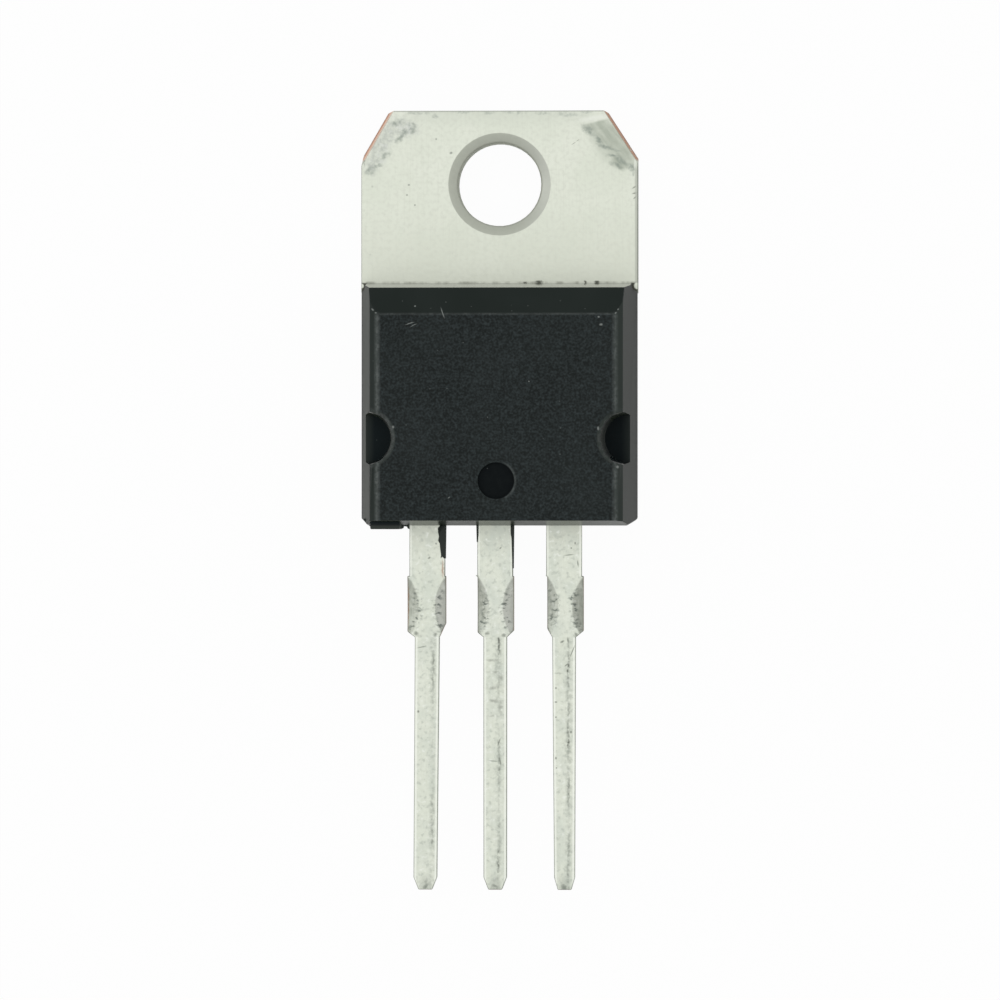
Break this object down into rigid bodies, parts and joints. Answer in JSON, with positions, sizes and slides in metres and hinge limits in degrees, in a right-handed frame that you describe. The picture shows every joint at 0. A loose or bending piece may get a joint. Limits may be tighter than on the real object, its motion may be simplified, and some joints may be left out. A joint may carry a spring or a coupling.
{
  "type": "voltage regulator",
  "caption": "Adjustable voltage regulator in a flat moulded package, with a bare metal screw tab that carries its heat away and straight flat solder leads.",
  "frame": {"origin": "middle of the tab's screw hole, on the back face that the part lies on", "axes": "+X across the part, to the right when the front is seen with the tab up; +Y towards the tab's end; +Z out of the front"},
  "size_m": [0.0102, 0.0285, 0.0046],
  "materials": {
    "tinned_copper": "matt tin plate over copper",
    "moulding_compound": "finely spark-eroded matt front, smoother walls",
    "silicon": "polished",
    "solder": "dull",
    "aluminium_wire": "bright drawn"
  },
  "bodies": {
    "root": {"heat_sink_frame": "tinned_copper", "adjust_lead": "tinned_copper", "input_lead": "tinned_copper", "moulded_body": "moulding_compound", "silicon_die": "silicon", "die_attach_solder": "solder", "adjust_bond_wire": "aluminium_wire", "output_bond_wire_1": "aluminium_wire", "output_bond_wire_2": "aluminium_wire", "input_bond_wire_1": "aluminium_wire", "input_bond_wire_2": "aluminium_wire"}
  },
  "joints": []
}
